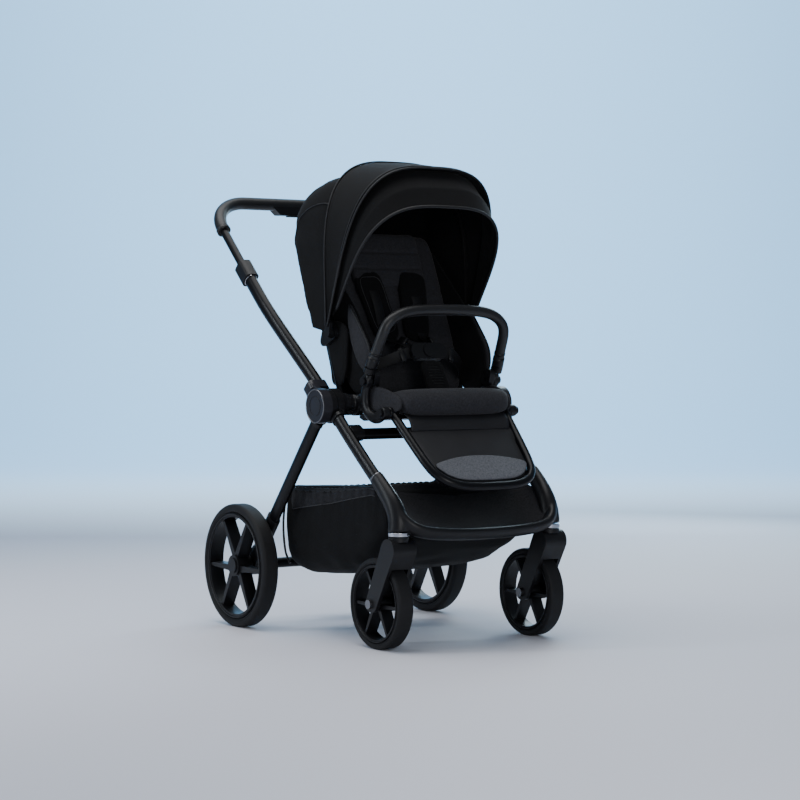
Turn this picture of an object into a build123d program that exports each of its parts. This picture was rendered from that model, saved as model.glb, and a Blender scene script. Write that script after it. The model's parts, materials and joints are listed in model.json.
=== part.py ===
# Full-size baby stroller: folding A-frame chassis, telescopic handle, swivelling front
# wheels and a lift-off reclining seat. Millimetres, +X to the pusher's left, -Y to the
# front, +Z up. The origin is on the floor under the middle of the stroller.
from build123d import *
import os
from math import atan2, cos, degrees, hypot, radians, sin

os.makedirs("parts", exist_ok=True)

# ---- chassis: driving dimensions --------------------------------------------------
wheelbase = 495.5          # front axle to rear axle
front_track = 404.8        # between the front wheels' middles
rear_track = 531.4
front_wheel_r = 98.4
rear_wheel_r = 142.5
front_tyre_w = 38.0
rear_tyre_w = 40.0
caster_trail = 66.4        # swivel axis ahead of the front axle
hub_y = 183.0              # folding hub, behind the front axle
hub_z = 519.0
hub_r = 39.0
fit = 0.05                 # radial running clearance
gap = 0.5                  # between pieces that move past each other

handle_angle = 43.5        # handle slope above the floor
handle_reach = 690.0       # hub axis to the middle of the grip bar
handle_low_x = 217.0       # half-width of the handle at the hub
handle_x = 245.0           # half-width of the telescopic part
handle_bend_r = 100.0      # grip bar corners
clamp_s = 437.0            # height clamps, along the handle from the hub
clamp_len = 50.0
grip_start_s = 583.0
grip_r = 15.0
bar_r = 10.0               # telescopic inner tube
tube_deep = 32.0           # oval chassis tubes, in side view
tube_wide = 23.0           # across the stroller
tube_wall = 2.0
handle_deep = 34.0
handle_wide = 26.0

front_leg_x = 221.0        # half-widths of the front leg at its ends
front_leg_low_x = 209.0
leg_foot_y = -8.0          # where the front leg enters the nose
leg_foot_z = 353.0
rear_leg_x = 232.0
nose_y = -100.0            # middle of the nose bar
nose_z = 247.0
nose_deep = 30.0
nose_thick = 24.0
column_r = 24.0            # upright that holds the front wheel swivel
column_top_z = 322.0
column_low_z = 256.0
stem_r = 6.0
fork_top_z = 240.0
cross_y = 119.0            # cross tube under the seat
cross_z = 458.0
cross_r = 12.5
axle_r = 6.0
axle_tube_r = 12.0

# ---- seat: driving dimensions -----------------------------------------------------
seat_half = 138.0          # seat cushion half-width
seat_front_y = 4.0
seat_back_y = 184.0
seat_top_z = 548.0
seat_base_z = 500.0
button_r = 5.0             # release button shafts, which carry their hinges
button_travel = 3.0
recline_y = 150.0          # backrest hinge
recline_z = 520.0
back_angle = 22.0          # backrest from the vertical
back_len = 420.0
back_half = 158.0
back_board = 56.0          # board, behind the hinge line
arm_x = 180.0              # seat arm, outer face
arm_wall = 16.0
ring_y = 102.0             # bumper bar hinge
ring_z = 574.0
bumper_x = 172.0
bumper_r = 12.0
bumper_top_y = 41.0
bumper_top_z = 731.0
rest_y = 35.0              # leg rest hinge
rest_z = 506.0
rest_half = 151.0
rest_low_half = 133.0
rest_len = 224.0
rest_angle = 44.0          # leg rest below the horizontal
rest_tube_r = 10.0

# ---- canopy -----------------------------------------------------------------------
canopy_y = 232.0           # canopy hinge
canopy_z = 680.0
canopy_half = 196.0
canopy_r = 391.0           # hinge to the top of the front bow
canopy_corner = 125.0
canopy_skin = 4.0
bow_front = 111.0          # front bow, degrees up from the rear horizontal
bow_mid = 88.0
visor_angle = 123.0
visor_r = 333.0

# ---- worked out -------------------------------------------------------------------
front_x = front_track / 2
rear_x = rear_track / 2
rear_most = hub_y + handle_reach * cos(radians(handle_angle)) + grip_r
front_most = rest_y - rest_len * cos(radians(rest_angle)) - rest_tube_r
mid_y = (rear_most + front_most) / 2
sides = (("left", 1), ("right", -1))


def at(x, y, z):
    """A point, with y measured back from the front axle."""
    return (x, y - mid_y, z)


def side_plane(x):
    """Side view at x: sketch coordinates are (y, z), normal to +X."""
    return Plane(origin=at(x, 0, 0), x_dir=(0, 1, 0), z_dir=(1, 0, 0))


def down_tube(s, across=0.0):
    """(y, z) at s along the handle line, and across it (upwards positive)."""
    a = radians(handle_angle)
    return (hub_y + s * cos(a) - across * sin(a), hub_z + s * sin(a) + across * cos(a))


def polar(y, z, r, angle):
    """(y, z) at a radius and an angle up from the rear horizontal."""
    return (y + r * cos(radians(angle)), z + r * sin(radians(angle)))


def rod(x0, x1, y, z, r, mode=Mode.ADD):
    """Cylinder across the stroller from x0 to x1."""
    with BuildSketch(side_plane(x0)) as disc:
        with Locations((y, z)):
            Circle(r)
    extrude(disc.sketch, amount=x1 - x0, mode=mode)


def link(x0, x1, *discs, mode=Mode.ADD):
    """Plate across x0 to x1 that wraps the discs (y, z, r)."""
    with BuildSketch(side_plane(x0)) as plate:
        for y, z, r in discs:
            with Locations((y, z)):
                Circle(r)
        make_hull()
    extrude(plate.sketch, amount=x1 - x0, mode=mode)


def oval_tube(path, across, deep, wall=0.0):
    """Oval section swept along a line that starts in a side plane."""
    with BuildSketch(Plane(origin=path @ 0, x_dir=(1, 0, 0), z_dir=path % 0)) as oval:
        Ellipse(across / 2, deep / 2)
        if wall:
            Ellipse(across / 2 - wall, deep / 2 - wall, mode=Mode.SUBTRACT)
    sweep(oval.sketch, path=path)


def round_tube(path, r, bore=0.0):
    with BuildSketch(Plane(origin=path @ 0, z_dir=path % 0)) as ring:
        Circle(r)
        if bore:
            Circle(bore, mode=Mode.SUBTRACT)
    sweep(ring.sketch, path=path)


def side_profile(x_half, *points, radius=0.0):
    """Closed side-view outline, extruded both ways from the middle."""
    with BuildSketch(side_plane(0)) as outline:
        with BuildLine():
            Polyline(*points, close=True)
        make_face()
        if radius:
            fillet(outline.vertices(), radius)
    extrude(outline.sketch, amount=x_half, both=True)


def save(piece, label):
    piece.part.label = label
    export_step(piece.part, f"parts/{label}.step")


# ---- hub geometry -----------------------------------------------------------------
hub_in_x = 202.0           # inner face of the hubs
housing_x = 219.0          # fixed housing, outer face
bracket_x = 233.5          # rear leg bracket, outer face
cover_x = 256.0            # handle hub cover, outer face
pin_r = 8.0
socket_s = 52.0            # where the tubes meet the hubs, from the hub axis
rear_leg_angle = degrees(atan2(rear_wheel_r - hub_z, wheelbase - hub_y))
rear_leg_len = hypot(wheelbase - hub_y, hub_z - rear_wheel_r)
front_leg_angle = degrees(atan2(leg_foot_z - hub_z, leg_foot_y - hub_y))

# ---- front frame ------------------------------------------------------------------
leg_top = polar(hub_y, hub_z, socket_s, front_leg_angle - 6)
leg_mid = ((leg_top[0] + leg_foot_y) / 2 - 6, (leg_top[1] + leg_foot_z) / 2 - 7)
leg_lines = []
for name, s in sides:
    with BuildLine() as leg_line:
        ThreePointArc(at(s * front_leg_x, *leg_top),
                      at(s * (front_leg_x + front_leg_low_x) / 2, *leg_mid),
                      at(s * front_leg_low_x, leg_foot_y, leg_foot_z))
    leg_lines.append(leg_line.line)
with BuildPart() as front_legs:
    for line in leg_lines:
        oval_tube(line, tube_wide, tube_deep, tube_wall)
save(front_legs, "front_legs")

with BuildPart() as leg_outsides:
    for line in leg_lines:
        oval_tube(line, tube_wide, tube_deep)

with BuildPart() as nose:
    nose_x = front_x + 4
    corner = (nose_x, nose_y + 22, nose_z + 44)
    inner = (nose_x - 78, nose_y, nose_z)
    nose_points = [(front_leg_low_x, leg_foot_y, leg_foot_z), corner, inner]
    mirrored = [(-x, y, z) for x, y, z in reversed(nose_points)]
    with BuildLine() as nose_line:
        FilletPolyline(*[at(*p) for p in nose_points + mirrored], radius=42)
    oval_tube(nose_line.line, nose_thick, nose_deep)
    for name, s in sides:
        with BuildSketch(Plane.XY.offset(column_low_z)) as foot:
            with Locations(at(s * front_x, -caster_trail, 0)[:2]):
                Circle(column_r)
        extrude(foot.sketch, amount=column_top_z - column_low_z)
        with BuildSketch(Plane.XY.offset(column_low_z - 1)) as bore:
            with Locations(at(s * front_x, -caster_trail, 0)[:2]):
                Circle(stem_r + fit)
        extrude(bore.sketch, amount=46, mode=Mode.SUBTRACT)
    add(leg_outsides.part, mode=Mode.SUBTRACT)
save(nose, "nose_frame")

with BuildPart() as rings:
    for name, s in sides:
        with BuildSketch(Plane.XY.offset(column_low_z - 8)) as ring:
            with Locations(at(s * front_x, -caster_trail, 0)[:2]):
                Circle(column_r - 1)
                Circle(stem_r + 3, mode=Mode.SUBTRACT)
        extrude(ring.sketch, amount=8)
save(rings, "caster_rings")

with BuildPart() as housings:
    for name, s in sides:
        rod(s * hub_in_x, s * housing_x, hub_y, hub_z, hub_r)
        link(s * (front_leg_x - tube_wide / 2), s * housing_x, (hub_y, hub_z, hub_r - 8),
             (*polar(hub_y, hub_z, socket_s - 19, front_leg_angle - 6), tube_deep / 2 + 1))
        with BuildSketch(Plane(origin=at(s * front_leg_x, *leg_top), x_dir=(1, 0, 0),
                               z_dir=(0, leg_top[0] - hub_y, leg_top[1] - hub_z))) as cuff:
            Ellipse(tube_wide / 2 + 2, tube_deep / 2 + 2)
        extrude(cuff.sketch, amount=-9)
        rod(s * (hub_in_x - 1), s * (housing_x + gap), hub_y, hub_z, pin_r, Mode.SUBTRACT)
    add(front_legs.part, mode=Mode.SUBTRACT)
save(housings, "hub_housings")

with BuildPart() as cross_tube:
    cross_half = front_leg_x - tube_wide / 2 - 3
    rod(-cross_half, cross_half, cross_y, cross_z, cross_r)
    rod(-cross_half, cross_half, cross_y, cross_z, cross_r - 2, Mode.SUBTRACT)
save(cross_tube, "seat_cross_tube")

with BuildPart() as cross_joint:
    for name, s in sides:
        link(s * (cross_half - 30), s * cross_half, (cross_y, cross_z, cross_r + 3),
             (cross_y + 8, cross_z + 8, cross_r))
        rod(s * (cross_half - 31), s * (cross_half + 1), cross_y, cross_z, cross_r, Mode.SUBTRACT)
save(cross_joint, "cross_tube_sleeves")

mount_y = hub_y - 33
mount_z = hub_z + 8
mount_r = 14.0
ledge_z = mount_z - mount_r - 7.3
with BuildPart() as seat_mounts:
    for name, s in sides:
        link(s * 197, s * hub_in_x, (mount_y, mount_z, 20), (hub_y - 4, hub_z, 30))
        link(s * (arm_x + 3), s * 197, (mount_y, ledge_z, 7), (mount_y + 22, ledge_z, 7))
save(seat_mounts, "seat_mounts")

# ---- basket -----------------------------------------------------------------------
basket_half = 194.0
basket_outline = [(-30, 240), (120, 158), (300, 133), (362, 134), (388, 165), (392, 250),
                  (374, 323), (210, 327), (60, 342), (22, 343), (-2, 310), (-30, 272)]
basket_wall = 4.0


def basket_section(grow):
    """Front view of the basket: upright sides that curve in below."""
    half = basket_half + grow
    with BuildSketch(Plane(origin=at(0, 440, 0), x_dir=(1, 0, 0), z_dir=(0, -1, 0))) as u:
        with BuildLine():
            FilletPolyline((-half, 400), (-half, 240), (-half + 28, 132 - grow),
                           (half - 28, 132 - grow), (half, 240), (half, 400), radius=30)
            Line((half, 400), (-half, 400))
        make_face()
    return u.sketch


with BuildPart() as basket_inside:
    with BuildSketch(side_plane(0)) as outline:
        with BuildLine():
            Polyline(*basket_outline, close=True)
        make_face()
        offset(amount=-basket_wall)
    extrude(outline.sketch, amount=basket_half, both=True)
    with BuildSketch(side_plane(0)) as mouth:
        with BuildLine():
            Polyline((27, 260), (27, 400), (368, 400), (372, 260), close=True)
        make_face()
    extrude(mouth.sketch, amount=basket_half, both=True)
    extrude(basket_section(-basket_wall), amount=600, mode=Mode.INTERSECT)

with BuildPart() as basket:
    side_profile(basket_half, *basket_outline, radius=10)
    extrude(basket_section(0), amount=600, mode=Mode.INTERSECT)
    add(basket_inside.part, mode=Mode.SUBTRACT)
save(basket, "basket")

with BuildPart() as basket_cover:
    with BuildSketch(side_plane(0)) as slope:
        with BuildLine():
            lip = nose_y + nose_thick / 2 + gap
            Polyline((lip, 252), (-70, 264), (-40, 283), (-10, 322), (4, 352), (9, 350), (-5, 318),
                     (-36, 278), (-67, 259), (lip, 246), close=True)
        make_face()
    extrude(slope.sketch, amount=190, both=True)
    with BuildSketch(Plane.XY) as trim:
        with BuildLine():
            edge = [(-190, 20), (-190, -36), (-175, -54), (-171, -70), (-122, lip - 1)]
            pts = edge + [(-x, y) for x, y in reversed(edge)]
            Polyline(*[at(x, y, 0)[:2] for x, y in pts], close=True)
        make_face()
    extrude(trim.sketch, amount=500, mode=Mode.INTERSECT)
    add(nose.part, mode=Mode.SUBTRACT)
save(basket_cover, "basket_front_cover")

with BuildPart() as rails:
    rail_r = 3.0
    rail_x = basket_half + rail_r + 0.3
    rail_top_x = (front_leg_x + front_leg_low_x - tube_wide) / 2 - rail_r - 0.3
    for name, s in sides:
        with BuildLine() as rail_line:
            FilletPolyline(at(s * rail_top_x, *leg_mid), at(s * rail_x, 130, 352),
                           at(s * rail_x, 372, 336), at(s * rail_x, 398, 240),
                           at(s * rail_x, 385, 172), radius=22)
        round_tube(rail_line.line, rail_r)
save(rails, "basket_rails")

# ---- rear legs --------------------------------------------------------------------
knuckle_s = rear_leg_len - 40
rear_top = polar(hub_y, hub_z, socket_s, rear_leg_angle)
rear_foot = polar(hub_y, hub_z, knuckle_s, rear_leg_angle)
with BuildPart() as rear_legs:
    for name, s in sides:
        with BuildLine(mode=Mode.PRIVATE) as leg_line:
            Line(at(s * rear_leg_x, *rear_top), at(s * rear_leg_x, *rear_foot))
        oval_tube(leg_line.line, tube_wide, tube_deep, tube_wall)
save(rear_legs, "rear_legs")

with BuildPart() as brackets:
    for name, s in sides:
        rod(s * (housing_x + gap), s * bracket_x, hub_y, hub_z, hub_r - 2)
        link(s * (housing_x + gap + 1), s * bracket_x, (hub_y, hub_z, 24),
             (*polar(hub_y, hub_z, socket_s - 17, rear_leg_angle), tube_deep / 2))
        with BuildSketch(Plane(origin=at(s * rear_leg_x, *rear_top), x_dir=(1, 0, 0),
                               z_dir=(0, rear_top[0] - hub_y, rear_top[1] - hub_z))) as cuff:
            Ellipse(tube_wide / 2 + 1.5, tube_deep / 2 + 2)
        extrude(cuff.sketch, amount=-9)
        rod(s * (housing_x + gap), s * (bracket_x + gap), hub_y, hub_z, pin_r + fit, Mode.SUBTRACT)
save(brackets, "rear_leg_brackets")

sleeve_top = polar(hub_y, hub_z, knuckle_s - 110, rear_leg_angle)
with BuildPart() as knuckles:
    for name, s in sides:
        leg_axis = Plane(origin=at(s * rear_leg_x, *sleeve_top), x_dir=(1, 0, 0),
                         z_dir=(0, cos(radians(rear_leg_angle)), sin(radians(rear_leg_angle))))
        with BuildSketch(leg_axis) as sleeve:
            Ellipse(tube_wide / 2 + 2, tube_deep / 2 + 4)
        extrude(sleeve.sketch, amount=112)
        link(s * (rear_leg_x - 14), s * (rear_leg_x + 10), (*rear_foot, 17),
             (wheelbase, rear_wheel_r, 24))
        with BuildSketch(leg_axis) as socket:
            Ellipse(tube_wide / 2, tube_deep / 2)
        extrude(socket.sketch, amount=110, mode=Mode.SUBTRACT)
        rod(s * (rear_leg_x - 20), s * (rear_leg_x + 20), wheelbase, rear_wheel_r, axle_r, Mode.SUBTRACT)
save(knuckles, "axle_housings")

with BuildPart() as axle_tube:
    half = rear_leg_x - 14
    rod(-half, half, wheelbase, rear_wheel_r, axle_tube_r)
    rod(-half - 1, half + 1, wheelbase, rear_wheel_r, axle_r, Mode.SUBTRACT)
save(axle_tube, "rear_axle_tube")

with BuildPart() as axle:
    rod(-rear_x - rear_tyre_w / 2 + 2, rear_x + rear_tyre_w / 2 - 2, wheelbase, rear_wheel_r, axle_r)
save(axle, "rear_axle")

pedal_half = 62.0
with BuildPart() as pedal:
    rod(-pedal_half, pedal_half, wheelbase, rear_wheel_r, axle_tube_r + 5)
    link(-pedal_half + 8, pedal_half - 8, (wheelbase, rear_wheel_r, axle_tube_r + 4),
         (wheelbase + 46, rear_wheel_r + 14, 5))
    rod(-pedal_half - 1, pedal_half + 1, wheelbase, rear_wheel_r, axle_tube_r + fit, Mode.SUBTRACT)
save(pedal, "brake_pedal")


# ---- wheels -----------------------------------------------------------------------
def wheel(x, y, r, width, bore, label, name, cap=0.0):
    """Rim with six blades in three pairs, and its tyre."""
    rim_r = r * 0.855
    ring_in = r * 0.79
    hub_out = r * 0.17
    depth = width - 4
    with BuildPart() as rim:
        with BuildSketch(side_plane(x - depth / 2)) as ring:
            with Locations((y, r)):
                Circle(rim_r)
                Circle(ring_in, mode=Mode.SUBTRACT)
        extrude(ring.sketch, amount=depth)
        rod(x - width / 2, x + width / 2, y, r, hub_out)
        for pair in range(3):
            for lean in (-28, 28):
                angle = 120 * pair + 90 + lean
                root = polar(y, r, hub_out * 0.6, 120 * pair + 90)
                tip = polar(y, r, ring_in + 1, angle)
                link(x - depth / 2 + 3, x + depth / 2 - 3, (*root, r * 0.055), (*tip, r * 0.028))
        rod(x - width, x + width, y, r, bore + fit, Mode.SUBTRACT)
        if cap:
            face = x + (width / 2 if x > 0 else -width / 2)
            rod(face, face + (cap if x > 0 else -cap), y, r, hub_out * 0.72)
    save(rim, f"{label}_rim_{name}")
    with BuildPart() as tyre:
        with BuildSketch(Plane(origin=at(x, y, r), x_dir=(1, 0, 0), z_dir=(0, -1, 0))) as half:
            with Locations((0, (rim_r + r) / 2)):
                RectangleRounded(width, r - rim_r, (r - rim_r) * 0.42)
        revolve(half.sketch, Axis(at(x, y, r), (1, 0, 0)))
        rod(x - width, x + width, y, r, rim_r, Mode.SUBTRACT)
    save(tyre, f"{label}_tyre_{name}")


for name, s in sides:
    wheel(s * rear_x, wheelbase, rear_wheel_r, rear_tyre_w, axle_r, "rear", name, cap=3.5)
    wheel(s * front_x, 0, front_wheel_r, front_tyre_w, axle_r - 1, "front", name)

# ---- casters ----------------------------------------------------------------------
fork_inside = front_tyre_w / 2 + 2.5
fork_outside = fork_inside + 8
for name, s in sides:
    x = s * front_x
    with BuildPart() as fork:
        with BuildSketch(Plane.XY.offset(fork_top_z - 4)) as collar:
            with Locations(at(x, -caster_trail, 0)[:2]):
                Circle(column_r - 2)
        extrude(collar.sketch, amount=10)
        link(x - fork_outside, x + fork_outside, (-caster_trail, fork_top_z - 22, 25),
             (-8, front_wheel_r, 17), (0, front_wheel_r, 17))
        rod(x - fork_inside, x + fork_inside, 0, front_wheel_r, front_wheel_r + 8, Mode.SUBTRACT)
        with BuildSketch(Plane.XY.offset(fork_top_z)) as stem:
            with Locations(at(x, -caster_trail, 0)[:2]):
                Circle(stem_r)
        extrude(stem.sketch, amount=column_low_z + 40 - fork_top_z)
        rod(x - fork_outside - 1, x + fork_outside + 1, 0, front_wheel_r, axle_r - 1, Mode.SUBTRACT)
    save(fork, f"caster_fork_{name}")
    with BuildPart() as bolt:
        rod(x - fork_outside - 3, x + fork_outside + 3, 0, front_wheel_r, axle_r - 1)
        rod(x - fork_outside - 6, x - fork_outside, 0, front_wheel_r, 10)
        rod(x + fork_outside, x + fork_outside + 6, 0, front_wheel_r, 10)
    save(bolt, f"front_axle_{name}")

# ---- handle -----------------------------------------------------------------------
with BuildPart() as outer_tubes:
    for name, s in sides:
        with BuildLine(mode=Mode.PRIVATE) as tube_line:
            FilletPolyline(at(s * handle_low_x, *down_tube(socket_s)),
                           at(s * handle_low_x, *down_tube(socket_s + 28)),
                           at(s * handle_x, *down_tube(clamp_s - 169)),
                           at(s * handle_x, *down_tube(clamp_s - 6)), radius=200)
        oval_tube(tube_line.line, handle_wide, handle_deep, tube_wall)
save(outer_tubes, "handle_tubes")

with BuildPart() as covers:
    for name, s in sides:
        rod(s * (bracket_x + gap), s * cover_x, hub_y, hub_z, hub_r)
        link(s * (bracket_x + gap), s * (cover_x - 8), (hub_y, hub_z, hub_r - 8),
             (*down_tube(socket_s - 4), handle_deep / 2 + 1))
        with BuildSketch(Plane(origin=at(s * handle_low_x, *down_tube(socket_s)), x_dir=(1, 0, 0),
                               z_dir=(0, cos(radians(handle_angle)), sin(radians(handle_angle))))) as cuff:
            with Locations((s * 11, 0)):
                RectangleRounded(handle_wide + 24, handle_deep + 4, 12)
        extrude(cuff.sketch, amount=-9)
        extrude(cuff.sketch, amount=12)
        with BuildSketch(Plane(origin=at(s * handle_low_x, *down_tube(socket_s)), x_dir=(1, 0, 0),
                               z_dir=(0, cos(radians(handle_angle)), sin(radians(handle_angle))))) as seat:
            Ellipse(handle_wide / 2, handle_deep / 2)
        extrude(seat.sketch, amount=40, mode=Mode.SUBTRACT)
        rod(s * (bracket_x - 1), s * (cover_x - 6), hub_y, hub_z, pin_r + fit, Mode.SUBTRACT)
save(covers, "hub_covers")

with BuildPart() as pins:
    for name, s in sides:
        rod(s * hub_in_x, s * (cover_x - 7), hub_y, hub_z, pin_r)
save(pins, "hub_pins")

handle_dir = (0, cos(radians(handle_angle)), sin(radians(handle_angle)))
with BuildPart() as clamps:
    for name, s in sides:
        low = Plane(origin=at(s * handle_x, *down_tube(clamp_s - clamp_len / 2)), x_dir=(1, 0, 0), z_dir=handle_dir)
        with BuildSketch(low) as block:
            RectangleRounded(handle_wide + 8, handle_deep + 6, 11)
        extrude(block.sketch, amount=clamp_len)
        with BuildSketch(low) as socket:
            Ellipse(handle_wide / 2, handle_deep / 2)
        extrude(socket.sketch, amount=clamp_len / 2 - 6, mode=Mode.SUBTRACT)
        with BuildSketch(low) as slide:
            Circle(bar_r + fit)
        extrude(slide.sketch, amount=clamp_len + 1, mode=Mode.SUBTRACT)
save(clamps, "height_clamps")


def handle_path(start):
    bar = [at(x, *down_tube(sv)) for x, sv in ((-handle_x, start), (-handle_x, handle_reach),
                                             (handle_x, handle_reach), (handle_x, start))]
    with BuildLine() as line:
        FilletPolyline(*bar, radius=handle_bend_r)
    return line.line


with BuildPart() as bar:
    round_tube(handle_path(clamp_s - 64), bar_r, bar_r - 2)
save(bar, "handle_bar")

with BuildPart() as grip:
    round_tube(handle_path(grip_start_s), grip_r, bar_r + fit)
save(grip, "handle_grip")

box_half = 66.0
bar_y, bar_z = down_tube(handle_reach)
with BuildPart() as fold_box:
    with BuildSketch(Plane(origin=at(0, bar_y, bar_z), x_dir=(1, 0, 0), z_dir=(0, -1, 0))) as shell:
        with BuildLine():
            Polyline((-box_half - 8, -6), (-box_half + 14, -26), (box_half - 14, -26),
                     (box_half + 8, -6), close=True)
        make_face()
        fillet(shell.vertices(), 3)
    extrude(shell.sketch, amount=grip_r, both=True)
    rod(-box_half - 10, box_half + 10, bar_y, bar_z, grip_r, Mode.SUBTRACT)
    with BuildSketch(Plane(origin=at(0, bar_y, bar_z - 27), z_dir=(0, 0, 1))) as pocket:
        Rectangle(52, 18)
    extrude(pocket.sketch, amount=7, mode=Mode.SUBTRACT)
save(fold_box, "fold_lock_box")

with BuildPart() as trigger:
    with BuildSketch(Plane(origin=at(-7, bar_y, bar_z - 29), z_dir=(0, 0, 1))) as key:
        RectangleRounded(36, 17, 4)
    extrude(key.sketch, amount=8.5)
save(trigger, "fold_trigger")

# ---- seat -------------------------------------------------------------------------
pan_half = seat_half - 3
with BuildPart() as seat_pan:
    side_profile(pan_half, (54, seat_base_z - 8), (mount_y + 24, seat_base_z - 16),
                 (mount_y + 40, seat_base_z - 10), (mount_y + 40, seat_base_z), (54, seat_base_z))
save(seat_pan, "seat_pan")

with BuildPart() as arms:
    for name, s in sides:
        x0 = s * (arm_x - arm_wall)
        x1 = s * arm_x
        link(x0, x1, (ring_y, ring_z, 15), (ring_y + 10, ring_z - 34, 13))
        link(x0, x1, (ring_y + 10, ring_z - 34, 13), (ring_y - 2, rest_z - 2, 13))
        link(x0, x1, (ring_y - 2, rest_z - 2, 13), (rest_y + 34, rest_z - 6, 10))
        link(s * (rest_half + 12), x1, (rest_y + 36, rest_z - 6, 10), (rest_y, rest_z, 14))
        link(x0, x1, (ring_y + 6, ring_z - 50, 22), (recline_y, recline_z, 24))
        link(s * (arm_x - 1), s * (arm_x + 16.5), (mount_y, mount_z, mount_r), (mount_y + 20, mount_z, mount_r))
        link(s * pan_half, x1, (mount_y + 10, seat_base_z - 6, 6), (rest_y + 45, seat_base_z - 4, 4))
        rod(s * (arm_x - 40), s * (arm_x + 1), rest_y, rest_z, button_r + fit, Mode.SUBTRACT)
        rod(s * (arm_x - 40), s * (arm_x + 1), ring_y, ring_z, button_r + fit, Mode.SUBTRACT)
        rod(s * (arm_x - 40), s * (arm_x + 1), recline_y, recline_z, 6 + fit, Mode.SUBTRACT)
save(arms, "seat_arms")

with BuildPart() as seat_cushion:
    side_profile(seat_half, (seat_front_y, seat_base_z + 0.4), (seat_back_y - 6, seat_base_z + 0.4),
                 (seat_back_y - 6, seat_top_z), (seat_front_y, seat_top_z), radius=12)
save(seat_cushion, "seat_cushion")

buckle_y, buckle_z = 118.0, 636.0
with BuildPart() as crotch:
    side_profile(24, (62, seat_top_z + 0.4), (84, seat_top_z + 0.4), (buckle_y + 8, buckle_z - 20.4),
                 (buckle_y - 8, buckle_z - 16.4), radius=3)
save(crotch, "crotch_pad")

buckle_face = Plane(origin=at(0, buckle_y + 6, buckle_z), x_dir=(1, 0, 0), z_dir=(0, -0.94, 0.342))
buckle_button_r = 15.0
with BuildPart() as buckle:
    with BuildSketch(buckle_face) as body:
        SlotOverall(96, 38)
    extrude(body.sketch, amount=14)
    with BuildSketch(buckle_face.offset(1)) as well:
        Circle(buckle_button_r + gap)
    extrude(well.sketch, amount=14, mode=Mode.SUBTRACT)
save(buckle, "harness_buckle")

with BuildPart() as button:
    with BuildSketch(buckle_face.offset(1 + button_travel + 0.3)) as disc:
        Circle(buckle_button_r)
    extrude(disc.sketch, amount=12)
save(button, "harness_button")

# ---- backrest ---------------------------------------------------------------------
def back_point(up, behind):
    """(y, z) up the backrest from its hinge, and behind it."""
    a = radians(back_angle)
    return (recline_y + up * sin(a) + behind * cos(a), recline_z + up * cos(a) - behind * sin(a))


back_tube_r = 9.0
frame_x = back_half + 5
with BuildPart() as back_frame:
    with BuildLine(mode=Mode.PRIVATE) as back_line:
        FilletPolyline(at(-frame_x, *back_point(34, back_board)), at(-frame_x, *back_point(back_len - 8, back_board)),
                       at(frame_x, *back_point(back_len - 8, back_board)), at(frame_x, *back_point(34, back_board)),
                       radius=60)
    round_tube(back_line.line, back_tube_r)
    for name, s in sides:
        link(s * 150, s * (arm_x - arm_wall - gap), (recline_y, recline_z, 17),
             (*back_point(40, back_board), 12))
        rod(s * 150, s * (arm_x - 2), recline_y, recline_z, 6)
    side_profile(frame_x, back_point(44, back_board), back_point(back_len - 30, back_board),
                 back_point(back_len - 30, back_board + 4), back_point(44, back_board + 4))
save(back_frame, "backrest_frame")

cushion_front = 16.0
with BuildPart() as back_cushion:
    side_profile(back_half - 10, back_point(44, cushion_front), back_point(back_len + 8, cushion_front),
                 back_point(back_len + 8, back_board - back_tube_r - 0.4),
                 back_point(back_len - 60, back_board - back_tube_r - 0.4),
                 back_point(back_len - 80, back_board - 0.4), back_point(44, back_board - 0.4), radius=5)
save(back_cushion, "backrest_cushion")

with BuildPart() as wings:
    for name, s in sides:
        with BuildSketch(side_plane(s * (back_half - 9.6))) as wing:
            with BuildLine():
                Polyline((114, 604), (114, 646), (186, 742), (262, 800),
                         back_point(back_len - 90, back_board - 16),
                         back_point(80, back_board - 16), close=True)
            make_face()
            fillet(wing.vertices(), 12)
        extrude(wing.sketch, amount=s * 5)
save(wings, "seat_side_wings")

with BuildPart() as shoulder_pads:
    for name, s in sides:
        with BuildSketch(side_plane(s * 30)) as pad:
            with BuildLine():
                Polyline(back_point(170, cushion_front - 0.4), back_point(320, cushion_front - 0.4),
                         back_point(320, 5), back_point(170, 1), close=True)
            make_face()
        extrude(pad.sketch, amount=s * 52)
save(shoulder_pads, "shoulder_pads")

lever_up = 130.0
with BuildPart() as lever:
    side_profile(48, back_point(lever_up, back_board + 4.4), back_point(lever_up + 30, back_board + 4.4),
                 back_point(lever_up + 30, back_board + 16), back_point(lever_up, back_board + 12), radius=3)
save(lever, "recline_lever")


# ---- canopy -----------------------------------------------------------------------
def hoop(angle, r, half, corner, low=30.0):
    """Hoop outline in a plane through the canopy hinge axis, at an angle up from the rear."""
    plane = Plane(origin=at(0, canopy_y, canopy_z), x_dir=(1, 0, 0),
                  z_dir=(0, -sin(radians(angle)), cos(radians(angle))))
    with BuildSketch(plane) as outline:
        with BuildLine():
            FilletPolyline((-half, low), (-half, r), (half, r), (half, low), radius=corner)
            Line((half, low), (-half, low))
        make_face()
    return outline.sketch.face()


def hood(hoops, skin):
    """Thin shell through hoops (angle, radius, half-width, corner), open at both ends and below."""
    with BuildPart() as inside:
        loft([hoop(a, r - skin, half - skin, corner, 28) for a, r, half, corner in hoops])
    with BuildPart() as shell:
        loft([hoop(a, r, half, corner) for a, r, half, corner in hoops])
        add(inside.part, mode=Mode.SUBTRACT)
    return shell


canopy_main = hood([(bow_mid, canopy_r - 2, canopy_half, canopy_corner),
                    ((bow_mid + bow_front) / 2, canopy_r, canopy_half, canopy_corner),
                    (bow_front, canopy_r, canopy_half, canopy_corner)], canopy_skin)
save(canopy_main, "canopy_main")

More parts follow.
